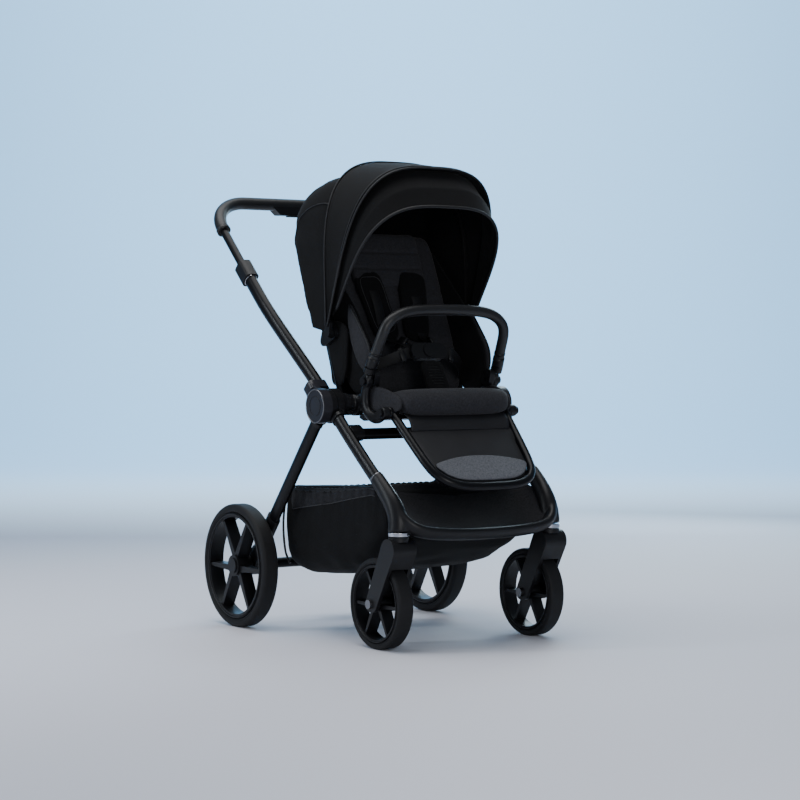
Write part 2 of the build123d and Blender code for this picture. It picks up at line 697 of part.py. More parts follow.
under = canopy_skin + 0.8
visor = hood([(bow_front - 3, canopy_r - under - 1, canopy_half - under, canopy_corner),
              (visor_angle, visor_r, canopy_half - under, canopy_corner)], canopy_skin)
save(visor, "canopy_visor")

rear_half = canopy_half - 2 * under
roof_z = 1046.0
roof_corner = 125.0
rear_outline = [(canopy_y + 4, canopy_z + 18), (canopy_y + 4, roof_z), (300, 1032), (366, 996),
                (394, 950), (392, 905), (378, 852), (352, 790), (326, 725), (316, canopy_z + 18)]


def arch(half, top, corner):
    """Front-view arch, extruded along the stroller."""
    with BuildSketch(Plane(origin=at(0, 500, 0), x_dir=(1, 0, 0), z_dir=(0, -1, 0))) as outline:
        with BuildLine():
            Polyline((-half, 600), (-half, top), (half, top), (half, 600), close=True)
        make_face()
        fillet(outline.vertices().group_by(Axis.Z)[-1], corner)
    extrude(outline.sketch, amount=400, mode=Mode.INTERSECT)


with BuildPart() as rear_hollow:
    side_profile(rear_half, (canopy_y - 5, canopy_z), (canopy_y - 5, roof_z), *[
        (y - canopy_skin, z - canopy_skin * 0.5) for y, z in rear_outline[2:-1]], (306, canopy_z))
    arch(rear_half - canopy_skin, roof_z - canopy_skin, roof_corner - canopy_skin)
with BuildPart() as canopy_rear:
    side_profile(rear_half, *rear_outline)
    arch(rear_half, roof_z, roof_corner)
    add(rear_hollow.part, mode=Mode.SUBTRACT)
save(canopy_rear, "canopy_rear")

hinge_r = 11.0
with BuildPart() as clips:
    for name, s in sides:
        link(s * (frame_x + back_tube_r + 0.3), s * (rear_half - canopy_skin - gap),
             (canopy_y, canopy_z, 15), (*back_point(176, back_board), 12),
             (canopy_y + 24, canopy_z + 30, 8))
    add(canopy_rear.part, mode=Mode.SUBTRACT)
save(clips, "canopy_clips")

with BuildPart() as hinges:
    for name, s in sides:
        rod(s * (rear_half - canopy_skin), s * (canopy_half - gap), canopy_y, canopy_z, hinge_r)
        link(s * (rear_half + 1), s * (canopy_half - gap), (canopy_y, canopy_z, 10),
             (*polar(canopy_y, canopy_z, 19, 100), 10))
save(hinges, "canopy_hinges")

# ---- bumper bar -------------------------------------------------------------------
bumper_half = [(bumper_x, ring_y - 14, ring_z + 30), (bumper_x - 4, 64, 652),
               (bumper_x - 12, 43, 722), (bumper_x - 66, bumper_top_y, bumper_top_z)]
with BuildPart() as bumper:
    with BuildLine() as bumper_line:
        pts = bumper_half + [(-x, y, z) for x, y, z in reversed(bumper_half)]
        FilletPolyline(*[at(*p) for p in pts], radius=34)
    round_tube(bumper_line.line, bumper_r)
save(bumper, "bumper_bar")

with BuildPart() as bumper_ends:
    for name, s in sides:
        link(s * (bumper_x - 23.5), s * (arm_x - arm_wall - gap), (ring_y, ring_z, 15), (ring_y - 8, ring_z + 14, 11))
        with BuildSketch(Plane(origin=at(s * bumper_x, ring_y - 14, ring_z + 30), x_dir=(1, 0, 0),
                               z_dir=(0, 64 - ring_y + 14, 652 - ring_z - 30))) as cuff:
            Circle(bumper_r + 1.5)
        extrude(cuff.sketch, amount=-12)
        rod(s * (bumper_x - 30), s * arm_x, ring_y, ring_z, button_r + fit, Mode.SUBTRACT)
    add(bumper.part, mode=Mode.SUBTRACT)
save(bumper_ends, "bumper_ends")

# ---- leg rest ---------------------------------------------------------------------
rest_y1 = rest_y - rest_len * cos(radians(rest_angle))
rest_z1 = rest_z - rest_len * sin(radians(rest_angle))
rest_top = (rest_y - 12 * cos(radians(rest_angle)), rest_z - 12 * sin(radians(rest_angle)))
with BuildPart() as rest_frame:
    with BuildLine() as rest_line:
        FilletPolyline(at(-rest_half, *rest_top), at(-rest_low_half, rest_y1, rest_z1),
                       at(rest_low_half, rest_y1, rest_z1), at(rest_half, *rest_top), radius=34)
    round_tube(rest_line.line, rest_tube_r)
    for name, s in sides:
        rod(s * (rest_half - 9), s * (rest_half + 11.5), rest_y, rest_z, 13)
        rod(s * (rest_half - 10), s * (rest_half + 12), rest_y, rest_z, button_r + fit, Mode.SUBTRACT)
save(rest_frame, "leg_rest_frame")

with BuildPart() as rest_panel:
    plane = Plane(origin=at(0, rest_y, rest_z), x_dir=(1, 0, 0),
                  z_dir=(0, -sin(radians(rest_angle)), cos(radians(rest_angle))))
    with BuildSketch(plane) as panel:
        with BuildLine():
            top_half = rest_half - rest_tube_r - 3.5
            low_half = rest_low_half - rest_tube_r - 0.3
            low = -rest_len + rest_tube_r + 0.5
            top = rest_y - seat_front_y + 2.5
            Polyline((-top_half, -top), (-low_half, low), (low_half, low), (top_half, -top), close=True)
        make_face()
        fillet(panel.vertices().group_by(Axis.Y)[-1], 6)
        fillet(panel.vertices().group_by(Axis.Y)[0], 26)
    extrude(panel.sketch, amount=4, both=True)
save(rest_panel, "leg_rest_panel")

# ---- release buttons --------------------------------------------------------------
head_x = arm_x + button_travel + 0.3
for name, s in sides:
    for label, inner_x, y, z in (("leg_rest", rest_half - 4, rest_y, rest_z),
                                 ("bumper", bumper_x - 20, ring_y, ring_z)):
        with BuildPart() as release:
            rod(s * inner_x, s * head_x, y, z, button_r)
            rod(s * head_x, s * (head_x + 3), y, z, 9)
        save(release, f"{label}_button_{name}")
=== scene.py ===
import json
from math import cos, exp, pi, radians, sin, sqrt
import bmesh
import bpy
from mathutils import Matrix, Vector, noise


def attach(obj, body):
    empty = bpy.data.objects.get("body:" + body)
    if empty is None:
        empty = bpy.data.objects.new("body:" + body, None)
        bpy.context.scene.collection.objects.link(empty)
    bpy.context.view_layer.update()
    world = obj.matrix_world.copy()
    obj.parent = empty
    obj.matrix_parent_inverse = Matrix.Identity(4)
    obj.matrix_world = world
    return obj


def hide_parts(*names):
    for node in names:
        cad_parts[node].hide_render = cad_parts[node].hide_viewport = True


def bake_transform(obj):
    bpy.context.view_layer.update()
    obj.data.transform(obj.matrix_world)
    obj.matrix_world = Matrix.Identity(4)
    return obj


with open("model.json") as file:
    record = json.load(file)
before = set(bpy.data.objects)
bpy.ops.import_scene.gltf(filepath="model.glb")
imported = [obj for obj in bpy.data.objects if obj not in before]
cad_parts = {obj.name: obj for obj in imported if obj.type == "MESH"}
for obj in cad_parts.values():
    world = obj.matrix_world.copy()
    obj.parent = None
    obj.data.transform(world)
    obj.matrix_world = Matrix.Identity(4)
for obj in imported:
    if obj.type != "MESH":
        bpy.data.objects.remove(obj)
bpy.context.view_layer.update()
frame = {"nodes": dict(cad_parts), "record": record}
print("frame loaded:", len(frame["nodes"]), "nodes")

# Measures below are millimetres with y from the front axle; pt turns them into the frame's metres.
axleShift = 281.188
sides = (("Left", 1), ("Right", -1))


def pt(x, y, z):
    return Vector((x, y - axleShift, z)) * 0.001


def hump(t, power=1.0):
    return max(0.0, sin(pi * t)) ** power


def lerp(a, b, t):
    return a + (b - a) * t


def polarPoint(x, r, angle, y0=232.0, z0=680.0):
    return pt(x, y0 + r * cos(radians(angle)), z0 + r * sin(radians(angle)))


def table(value, pairs):
    if value <= pairs[0][0]:
        return pairs[0][1]
    for (a, va), (b, vb) in zip(pairs, pairs[1:]):
        if value <= b:
            return lerp(va, vb, (value - a) / (b - a))
    return pairs[-1][1]


def evenLine(points, count, closed=False):
    line = list(points) + ([points[0]] if closed else [])
    lengths = [0.0]
    for a, b in zip(line, line[1:]):
        lengths.append(lengths[-1] + (b - a).length)
    steps = count if closed else count - 1
    out = []
    k = 0
    for i in range(count):
        want = lengths[-1] * i / steps
        while k < len(line) - 2 and lengths[k + 1] < want:
            k += 1
        span = lengths[k + 1] - lengths[k]
        out.append(line[k].lerp(line[k + 1], (want - lengths[k]) / span if span else 0.0))
    return out


def smoothLine(points, count, closed=False):
    n = len(points)
    dense = []
    spans = n if closed else n - 1
    for i in range(spans):
        if closed:
            p = [points[(i + k) % n] for k in (-1, 0, 1, 2)]
        else:
            p = [points[max(0, min(n - 1, i + k))] for k in (-1, 0, 1, 2)]
        for step in range(12):
            t = step / 12
            dense.append(0.5 * ((2 * p[1]) + (p[2] - p[0]) * t
                                + (2 * p[0] - 5 * p[1] + 4 * p[2] - p[3]) * t * t
                                + (3 * p[1] - p[0] - 3 * p[2] + p[3]) * t ** 3))
    if not closed:
        dense.append(points[-1].copy())
    return evenLine(dense, count, closed)


# Every finish: base colour and roughness, then whatever else it has. grain, cells, weave and ribs are
# bump patterns as (scale, depth), and fleck is how much the colour varies.
finishes = {
    "gloss_tube": {"color": (0.003, 0.003, 0.004), "rough": 0.3, "shine": 0.2, "fleck": 0.08},
    "black_plastic": {"color": (0.006, 0.006, 0.0072), "rough": 0.4, "shine": 0.28, "grain": (900, 0.05)},
    "hub_cover": {"color": (0.018, 0.018, 0.023), "rough": 0.34, "shine": 0.4, "grain": (700, 0.03)},
    "chrome_trim": {"color": (0.6, 0.6, 0.63), "rough": 0.1, "metal": 1.0},
    "steel": {"color": (0.2, 0.2, 0.21), "rough": 0.3, "metal": 1.0},
    "tyre": {"color": (0.006, 0.006, 0.007), "rough": 0.66, "shine": 0.3, "grain": (500, 0.12)},
    "leatherette": {"color": (0.009, 0.009, 0.010), "rough": 0.4, "shine": 0.4, "cells": (650, 0.16)},
    "black_cloth": {"color": (0.003, 0.003, 0.0036), "rough": 0.85, "shine": 0.16, "sheen": 0.04,
                    "weave": (1500, 0.25)},
    "melange_cloth": {"color": (0.012, 0.012, 0.0145), "rough": 0.88, "shine": 0.2, "sheen": 0.06,
                      "weave": (1100, 0.3), "fleck": 0.5},
    "lining_cloth": {"color": (0.024, 0.024, 0.028), "rough": 0.88, "shine": 0.2, "sheen": 0.06,
                     "weave": (900, 0.3), "fleck": 0.25},
    "charcoal_panel": {"color": (0.011, 0.011, 0.013), "rough": 0.6, "shine": 0.3, "grain": (1300, 0.12)},
    "meshPatch": {"color": (0.1, 0.105, 0.12), "rough": 0.7, "shine": 0.3, "weave": (700, 0.5), "fleck": 0.3},
    "webbing": {"color": (0.006, 0.006, 0.007), "rough": 0.6, "shine": 0.3, "ribs": (420, 0.5)},
    "binding": {"color": (0.008, 0.008, 0.0095), "rough": 0.5, "shine": 0.35, "ribs": (900, 0.2)},
    "stitch": {"color": (0.03, 0.03, 0.033), "rough": 0.7},
}


def buildFinish(name, spec):
    mat = bpy.data.materials.new(name)
    mat.use_nodes = True
    nodes, links = mat.node_tree.nodes, mat.node_tree.links
    shader = nodes["Principled BSDF"]
    shader.inputs["Base Color"].default_value = (*spec["color"], 1)
    shader.inputs["Roughness"].default_value = spec["rough"]
    shader.inputs["Metallic"].default_value = spec.get("metal", 0.0)
    shader.inputs["Coat Weight"].default_value = spec.get("coat", 0.0)
    shader.inputs["Specular IOR Level"].default_value = spec.get("shine", 0.5)
    shader.inputs["Coat Roughness"].default_value = 0.12
    shader.inputs["Sheen Weight"].default_value = spec.get("sheen", 0.0)
    shader.inputs["Sheen Roughness"].default_value = 0.45
    coords = nodes.new("ShaderNodeTexCoord")
    height = None
    depth = 0.0
    if "grain" in spec:
        texture = nodes.new("ShaderNodeTexNoise")
        texture.inputs["Scale"].default_value, depth = spec["grain"]
        texture.inputs["Detail"].default_value = 3
        links.new(coords.outputs["Object"], texture.inputs["Vector"])
        height = texture.outputs["Fac"]
    elif "cells" in spec:
        texture = nodes.new("ShaderNodeTexVoronoi")
        texture.inputs["Scale"].default_value, depth = spec["cells"]
        links.new(coords.outputs["Object"], texture.inputs["Vector"])
        height = texture.outputs["Distance"]
    elif "weave" in spec or "ribs" in spec:
        scale, depth = spec.get("weave") or spec.get("ribs")
        waves = []
        for direction in ("X", "Z") if "weave" in spec else ("Z",):
            wave = nodes.new("ShaderNodeTexWave")
            wave.bands_direction = direction
            wave.inputs["Scale"].default_value = scale * 0.3
            wave.inputs["Distortion"].default_value = 0.6
            links.new(coords.outputs["Object"], wave.inputs["Vector"])
            waves.append(wave.outputs["Fac"])
        height = waves[0]
        if len(waves) == 2:
            blend = nodes.new("ShaderNodeMath")
            blend.operation = "MULTIPLY"
            links.new(waves[0], blend.inputs[0])
            links.new(waves[1], blend.inputs[1])
            height = blend.outputs[0]
    if height is not None:
        bump = nodes.new("ShaderNodeBump")
        bump.inputs["Strength"].default_value = min(1.0, depth * 2)
        bump.inputs["Distance"].default_value = 0.0004
        links.new(height, bump.inputs["Height"])
        links.new(bump.outputs["Normal"], shader.inputs["Normal"])
    fleck = nodes.new("ShaderNodeTexNoise")
    fleck.inputs["Scale"].default_value = 260 if "fleck" in spec else 24
    fleck.inputs["Detail"].default_value = 4
    links.new(coords.outputs["Object"], fleck.inputs["Vector"])
    spread = nodes.new("ShaderNodeMapRange")
    amount = spec.get("fleck", 0.12)
    spread.inputs["From Min"].default_value = 0.3
    spread.inputs["From Max"].default_value = 0.7
    spread.inputs["To Min"].default_value = 1 - amount
    spread.inputs["To Max"].default_value = 1 + amount
    links.new(fleck.outputs["Fac"], spread.inputs["Value"])
    tint = nodes.new("ShaderNodeMix")
    tint.data_type = "RGBA"
    tint.blend_type = "MULTIPLY"
    tint.inputs["Factor"].default_value = 1.0
    tint.inputs[6].default_value = (*spec["color"], 1)
    links.new(spread.outputs["Result"], tint.inputs[7])
    links.new(tint.outputs[2], shader.inputs["Base Color"])
    return mat


materials = {name: buildFinish(name, spec) for name, spec in finishes.items()}
print("materials ready:", len(materials))



def addPiece(name, bm, finish, body):
    bmesh.ops.remove_doubles(bm, verts=bm.verts, dist=1e-6)
    bmesh.ops.recalc_face_normals(bm, faces=bm.faces)
    mesh = bpy.data.meshes.new(name)
    bm.to_mesh(mesh)
    bm.free()
    mesh.materials.append(materials[finish])
    for face in mesh.polygons:
        face.use_smooth = True
    obj = bpy.data.objects.new(name, mesh)
    bpy.context.scene.collection.objects.link(obj)
    if body:
        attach(obj, body)
    return obj


def gridMesh(rows, closeAcross=False, closeAlong=False, caps=False):
    bm = bmesh.new()
    verts = [[bm.verts.new(p) for p in row] for row in rows]
    n, m = len(rows), len(rows[0])
    for i in range(n if closeAlong else n - 1):
        for j in range(m if closeAcross else m - 1):
            a, b = verts[i][j], verts[i][(j + 1) % m]
            c, d = verts[(i + 1) % n][(j + 1) % m], verts[(i + 1) % n][j]
            bm.faces.new((a, b, c, d))
    if caps:
        bm.faces.new(list(reversed(verts[0])))
        bm.faces.new(verts[-1])
    return bm


def ovalSection(a, b, count=24):
    return [(a * cos(2 * pi * k / count), b * sin(2 * pi * k / count)) for k in range(count)]


def circleSection(r, count=14):
    return ovalSection(r, r, count)


def strapSection(width, thick):
    half, t = width / 2, thick / 2
    return [(-half + t * 0.6, -t), (half - t * 0.6, -t), (half, -t * 0.4), (half, t * 0.4),
            (half - t * 0.6, t), (-half + t * 0.6, t), (-half, t * 0.4), (-half, -t * 0.4)]


def mergeMeshes(parts):
    joined = bmesh.new()
    for part in parts:
        scratch = bpy.data.meshes.new("scratch")
        part.to_mesh(scratch)
        part.free()
        joined.from_mesh(scratch)
        bpy.data.meshes.remove(scratch)
    return joined


def blendSolid(obj, voxel, rounds):
    remesh = obj.modifiers.new("remesh", "REMESH")
    remesh.mode = "VOXEL"
    remesh.voxel_size = voxel
    relax = obj.modifiers.new("relax", "SMOOTH")
    relax.factor = 0.5
    relax.iterations = rounds
    bpy.context.view_layer.update()
    ready = obj.evaluated_get(bpy.context.evaluated_depsgraph_get())
    old = obj.data
    obj.data = bpy.data.meshes.new_from_object(ready)
    obj.data.name = old.name
    obj.modifiers.clear()
    for face in obj.data.polygons:
        face.use_smooth = True
    return obj


def sweepMesh(points, section, up=Vector((0, 0, 1)), closed=False):
    rows = []
    side = None
    n = len(points)
    for i, p in enumerate(points):
        before = points[(i - 1) % n] if closed or i else p
        after = points[(i + 1) % n] if closed or i < n - 1 else p
        along = (after - before).normalized()
        if side is None:
            side = along.cross(up)
        side = (side - along * side.dot(along)).normalized()
        top = side.cross(along).normalized()
        outline = section(i / (n - 1)) if callable(section) else section
        rows.append([p + (side * a + top * b) * 0.001 for a, b in outline])
    return gridMesh(rows, closeAcross=True, closeAlong=closed, caps=not closed)


def addSweep(name, points, section, finish, body, up=Vector((0, 0, 1)), closed=False):
    return addPiece(name, sweepMesh(points, section, up, closed), finish, body)


def circleAt(x, y, z, radius, count):
    return [pt(x, y + radius * cos(2 * pi * k / count), z + radius * sin(2 * pi * k / count))
            for k in range(count)]


def discMesh(x0, x1, y, z, r):
    count = max(2, int(abs(x1 - x0) / 3))
    line = [pt(lerp(x0, x1, k / count), y, z) for k in range(count + 1)]
    return sweepMesh(line, circleSection(r, 36))


def solidify(obj, thick, offset=-1.0):
    mod = obj.modifiers.new("thickness", "SOLIDIFY")
    mod.thickness = thick
    mod.offset = offset
    return obj


def wrinkle(p, size, depth):
    return depth * (noise.noise(p * (1000 / size)) + 0.5 * noise.noise(p * (2100 / size)))


# A padded shape on an outline, with its own rise on each face.
def pillow(name, outline, depthUp, depthDown, finish, body, rings=10, count=72):
    line = smoothLine(outline, count, closed=True)
    centre = sum(line, Vector()) / count
    normal = Vector()
    for a, b in zip(line, line[1:] + line[:1]):
        normal += (a - centre).cross(b - centre)
    normal.normalize()
    rows = []
    for k in range(-rings, rings + 1):
        f = cos(k / rings * pi / 2)
        f = 1 - (1 - f) ** 1.6
        side = depthUp if k > 0 else depthDown
        lift = side * (sin(abs(k) / rings * pi / 2) ** 0.75) * (1 if k > 0 else -1)
        row = []
        for p in line:
            row.append(centre.lerp(p, max(f, 0.02)) + normal * (lift * 0.001))
        rows.append(row)
    return addPiece(name, gridMesh(rows, closeAcross=True, caps=True), finish, body)


def groove(distance, width, depth):
    return depth * exp(-(distance / width) ** 2)


# CAD nodes that show get their finish, a small edge radius and smooth shading.
cadLook = {"bevel": 0.0008, "segments": 2, "sharpAngle": 32, "weld": 0.00002}
for row in frame["record"]["subparts"]:
    node = frame["nodes"][row["node"]]
    node.data.materials.clear()
    node.data.materials.append(materials[row["material_slot"]])
    if "custom_normal" in node.data.attributes:
        node.data.attributes.remove(node.data.attributes["custom_normal"])
    for face in node.data.polygons:
        face.use_smooth = True
        face.material_index = 0
    weld = node.modifiers.new("weld", "WELD")
    weld.merge_threshold = cadLook["weld"]
    bevel = node.modifiers.new("edges", "BEVEL")
    bevel.limit_method = "ANGLE"
    bevel.angle_limit = radians(cadLook["sharpAngle"])
    bevel.width = cadLook["bevel"]
    bevel.segments = cadLook["segments"]
    bevel.harden_normals = True
    bevel.use_clamp_overlap = True
print("CAD nodes finished")

# The canopy: bows are angles about the hinge, in degrees from the rear; sizes are millimetres.
canopy = {"half": 196.0, "top": 391.0, "low": 14.0, "rearHalf": 186.5, "squareness": 3.2,
          "springLine": 110.0, "frontBow": 111.0, "midBow": 89.0, "cloth": 0.0016, "sag": 5.0}


def hoopLine(angle, top, half, low, count=64, squareness=None):
    n = squareness or canopy["squareness"]
    base = min(canopy["springLine"], top * 0.4)
    raw = []
    steps = 160
    for k in range(steps + 1):
        phi = pi * k / steps
        c, s = cos(phi), sin(phi)
        x = -half * (1 if c > 0 else -1) * abs(c) ** (2 / n)
        r = base + (top - base) * max(0.0, abs(s)) ** (2 / n)
        raw.append((x, r))
    line = [(-half, lerp(low, base, k / 6)) for k in range(6)] + raw
    line += [(half, lerp(base, low, (k + 1) / 6)) for k in range(6)]
    return evenLine([polarPoint(x, r, angle) for x, r in line], count)


def bentHood(name, stations, finish, body, sag, count=64, along=14, wrinkleDepth=0.6):
    rows = []
    total = (len(stations) - 1) * along
    for i in range(total + 1):
        k = min(i // along, len(stations) - 2)
        t = i / along - k
        a, b = stations[k], stations[k + 1]
        angle, top, half, low = (lerp(p, q, t) for p, q in zip(a, b))
        dip = sag * hump(t) if b[0] - a[0] > 3 else 0.0
        row = hoopLine(angle, top - dip, half - dip * 0.4, low, count)
        for j, p in enumerate(row):
            edge = sin(pi * j / (count - 1)) * sin(pi * i / total)
            toward = (p - polarPoint(0, 90, angle)).normalized()
            row[j] = p + toward * (0.001 * edge * wrinkle(p, 55, wrinkleDepth))
        rows.append(row)
    return addPiece(name, gridMesh(rows), finish, body)


mid, front = canopy["midBow"], canopy["frontBow"]
top, half, low = canopy["top"], canopy["half"], canopy["low"]
# each station: angle, rise over the top, half width, rise at the hinge
mainStations = [(mid - 0.4, 364, 184.5, low), (mid - 1.5, top - 2.5, half - 0.5, low),
                (front, top, half, low)]
canopyMain = bentHood("canopyTop", mainStations, "black_cloth", "canopy", canopy["sag"])
solidify(canopyMain, canopy["cloth"])
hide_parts("canopy_main")

visorStations = [(front - 3, 382.4, 188.4, 40), (117, 360.8, 188.8, 52), (123.5, 334, 190, 64)]
canopyVisor = bentHood("canopyVisorCloth", visorStations, "black_cloth", "visor", 1.5)
solidify(canopyVisor, canopy["cloth"])
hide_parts("canopy_visor")

rearOutline = [(89, 366), (84, 364), (78, 361), (71, 352), (64.5, 338), (59.5, 320), (55, 290), (49.7, 238),
               (42.5, 174), (27, 112), (10, 92)]


def rearHood():
    rows = []
    steps, across = 60, 72
    for i in range(steps + 1):
        t = i / steps * (len(rearOutline) - 1)
        k = min(int(t), len(rearOutline) - 2)
        f = t - k
        angle = lerp(rearOutline[k][0], rearOutline[k + 1][0], f)
        rise = lerp(rearOutline[k][1], rearOutline[k + 1][1], f)
        square = table(angle, [(10, 8), (40, 12), (62, 11), (76, 6.5), (89, 3.6)])
        row = hoopLine(angle, rise, canopy["rearHalf"], canopy["low"] + 5 * (1 - i / steps), across, square)
        for j, p in enumerate(row):
            edge = hump(j / (across - 1), 0.5) * min(1, i / 6) * min(1, (steps - i) / 6)
            toward = (p - pt(0, 260, 800)).normalized()
            folds = 2.2 * sin(p.z * 95 + 2.5 * noise.noise(p * 9)) * (0.5 + 0.5 * noise.noise(p * 6))
            row[j] = p + toward * (0.001 * edge * (wrinkle(p, 70, 1.8) + folds * 0.6))
        rows.append(row)
    return addPiece("canopyRearCloth", gridMesh(rows), "black_cloth", None)


canopyRear = rearHood()
for tag, at in (("Right", 20), ("Left", 51)):  # the column of the panel's mesh that each seam follows
    seamLine = [canopyRear.data.vertices[i * 72 + at].co.copy() for i in range(2, 59)]
    seamLine = [p + (p - pt(0, 250, 800)).normalized() * 0.001 for p in seamLine]
    seam = addSweep("canopyRearSeam" + tag, seamLine, circleSection(1.3, 8), "binding", None)
    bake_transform(seam)
solidify(canopyRear, canopy["cloth"])
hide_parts("canopy_rear")
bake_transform(canopyRear)

for label, angle, rise, reach, foot, radius, body in (
        ("canopyFrontPipingA", front + 0.1, top + 1.5, half + 1.5, low + 2, 2.4, "canopy"),
        ("canopyFrontPipingB", front - 1.6, top + 1.5, half + 1.5, low + 2, 1.6, "canopy"),
        ("canopyMidPiping", mid - 1.3, top - 0.8, half + 1, low + 2, 2.0, "canopy"),
        ("canopyVisorBinding", 123.6, 334, 190.5, 64, 3.4, "visor")):
    line = hoopLine(angle, rise, reach, foot, 110)
    addSweep(label, line, circleSection(radius, 10), "binding", body, up=Vector((0, 1, 0)))
print("canopy made")

# The basket hangs from two wires; its floor is a side view from the front hem to the rear hem.
basketShape = {"half": 194.0, "squareness": 8.0, "cloth": 0.0018, "band": 0.0012, "wire": 2.6}
basketFloor = [(32, 338), (6, 302), (-14, 266), (-8, 236), (40, 203), (120, 163), (210, 143), (300, 134),
               (358, 132), (396, 137), (406, 156), (408, 240), (398, 290), (383, 320)]


def hemPoint(y):
    yh = max(32.0, min(382.0, y))
    return yh, table(yh, [(32, 341), (48, 344), (120, 337), (210, 328), (351, 323), (382, 321)])


def basketPoint(phi, y, z):
    n = basketShape["squareness"]
    c, s = cos(phi), sin(phi)
    x = -basketShape["half"] * (1 if c > 0 else -1) * abs(c) ** (2 / n)
    deep = max(0.0, abs(s)) ** (2 / n)
    yh, zh = hemPoint(y)
    return pt(x, lerp(yh, y, deep ** 0.3), lerp(zh, z, deep))


basketLine = evenLine([Vector((0, y, z)) for y, z in basketFloor], 60)
basketRows = []
for i, station in enumerate(basketLine):
    raw = [basketPoint(pi * k / 140, station.y, station.z) for k in range(141)]
    row = evenLine(raw, 64)
    for j, p in enumerate(row):
        loose = hump(j / 63, 0.6) * hump(i / 59, 0.5)
        toward = Vector((0, 0, -1))
        if abs(p.x) > 0.01:
            toward = Vector((p.x, 0, min(0.0, p.z - 0.26))).normalized()
        gather = 1.6 * sin(p.y * 210 + p.z * 30) * max(0.0, 1 - min(j, 63 - j) / 9)
        creases = 5.0 * noise.noise(Vector((p.x * 8, p.y * 22 + p.z * 14, p.z * 34 - p.y * 9)))
        row[j] = p + toward * (0.001 * (loose * (wrinkle(p, 75, 2.2) + creases) + gather * 0.8))
    basketRows.append(row)
basketCloth = addPiece("basketCloth", gridMesh(basketRows), "black_cloth", "front_frame")
solidify(basketCloth, basketShape["cloth"], 1.0)
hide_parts("basket")
hemLine = [pt(-basketShape["half"], *hemPoint(y)) for y in range(32, 378, 6)]
hemLine += [pt(x, 382, 321) for x in range(-186, 187, 6)]
hemLine += [pt(basketShape["half"], *hemPoint(y)) for y in range(377, 31, -6)]
hemLine = [p + Vector((0, 0, 0.0012 * sin(i * 1.9))) for i, p in enumerate(evenLine(hemLine, 220))]
addSweep("basketHem", hemLine, strapSection(5, 11), "binding", "front_frame")
for tag, sign in sides:
    bandRows = []
    for k in range(9):
        row = []
        for y in range(32, 383, 4):
            yh, zh = hemPoint(y)
            depth = (12 + 30 * (y / 376) ** 1.4) * k / 8
            ripple = sin(y * 0.21 + 2.2 * noise.noise(Vector((y * 0.02, k, 0))))
            puff = 1.4 + 1.8 * sin(pi * k / 8) + 0.8 * ripple
            row.append(pt(sign * (basketShape["half"] + puff), yh, zh - 2 - depth))
        bandRows.append(row)
    band = addPiece("basketBand" + tag, gridMesh(bandRows), "melange_cloth", "front_frame")
    solidify(band, basketShape["band"], 0.0)
    seamLine = []
    for y in range(32, 376, 6):
        yh, zh = hemPoint(y)
        seamLine.append(pt(sign * (basketShape["half"] + 1.9), yh, zh - 14 - 30 * (y / 376) ** 1.4))
    addSweep("basketBandSeam" + tag, seamLine, circleSection(1.1, 8), "stitch", "front_frame")

for tag, sign in sides:
    wireRoute = ((194, 24, 344), (197, 130, 343), (198, 300, 334), (198, 376, 327), (199, 402, 296),
                 (200, 412, 240), (199, 405, 180), (194, 392, 152))
    railLine = smoothLine([pt(sign * x, y, z) for x, y, z in wireRoute], 70)
    wireSection = circleSection(basketShape["wire"], 10)
    rail = addSweep("basketWire" + tag, railLine, wireSection, "gloss_tube", "front_frame")
    if sign == 1:
        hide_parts("basket_rails")
    seamLine = [pt(sign * (basketShape["half"] - 0.5), y, 236 - (y - 250) * 0.02) for y in range(110, 388, 8)]
    addSweep("basketSideSeam" + tag, seamLine, circleSection(1.0, 8), "stitch", "front_frame")

coverFront = [(-198, -24, 332), (-196, -52, 304), (-186, -74, 280), (-156, -87, 263), (-100, -93, 256),
              (0, -95, 253)]
coverFront += [(-x, y, z) for x, y, z in reversed(coverFront[:-1])]
coverFrontLine = smoothLine([pt(*p) for p in coverFront], 48)
coverBackLine = evenLine([pt(x, 44, 351) for x in (-194, 0, 194)], 48)
coverRows = []
for i in range(25):
    t = i / 24
    row = []
    for j, (a, b) in enumerate(zip(coverFrontLine, coverBackLine)):
        p = a.lerp(b, t)
        sag = hump(t) * hump(j / 47, 0.5)
        row.append(p + Vector((0, 0.006, -0.013)) * sag + Vector((0, 0, 0.001 * wrinkle(p, 90, 1.2) * sag)))
    coverRows.append(row)
basketCover = addPiece("basketFrontCloth", gridMesh(coverRows), "melange_cloth", "front_frame")
solidify(basketCover, 0.0016, 1.0)
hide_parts("basket_front_cover")

# the nose is one bar bent round the front, with a column at each end that carries a caster
nosePath = [(208.5, -6, 352), (208, -42, 322), (200, -74, 285), (170, -94, 260), (105, -103, 250),
            (0, -105.5, 247)]
columnPath = ((209.5, 8, 368), (208, -24, 340), (205, -50, 312), (202.6, -64, 284), (202.4, -66.4, 257))
nosePoints = [pt(*p) for p in nosePath] + [pt(-x, y, z) for x, y, z in reversed(nosePath[:-1])]


def noseSection(t):
    corner = abs(2 * t - 1)
    return ovalSection(lerp(10.5, 14, corner ** 2), lerp(17, 17.5, corner))


def columnSection(t):
    return ovalSection(lerp(14.5, 23.5, t ** 1.4), lerp(19, 23.5, t))


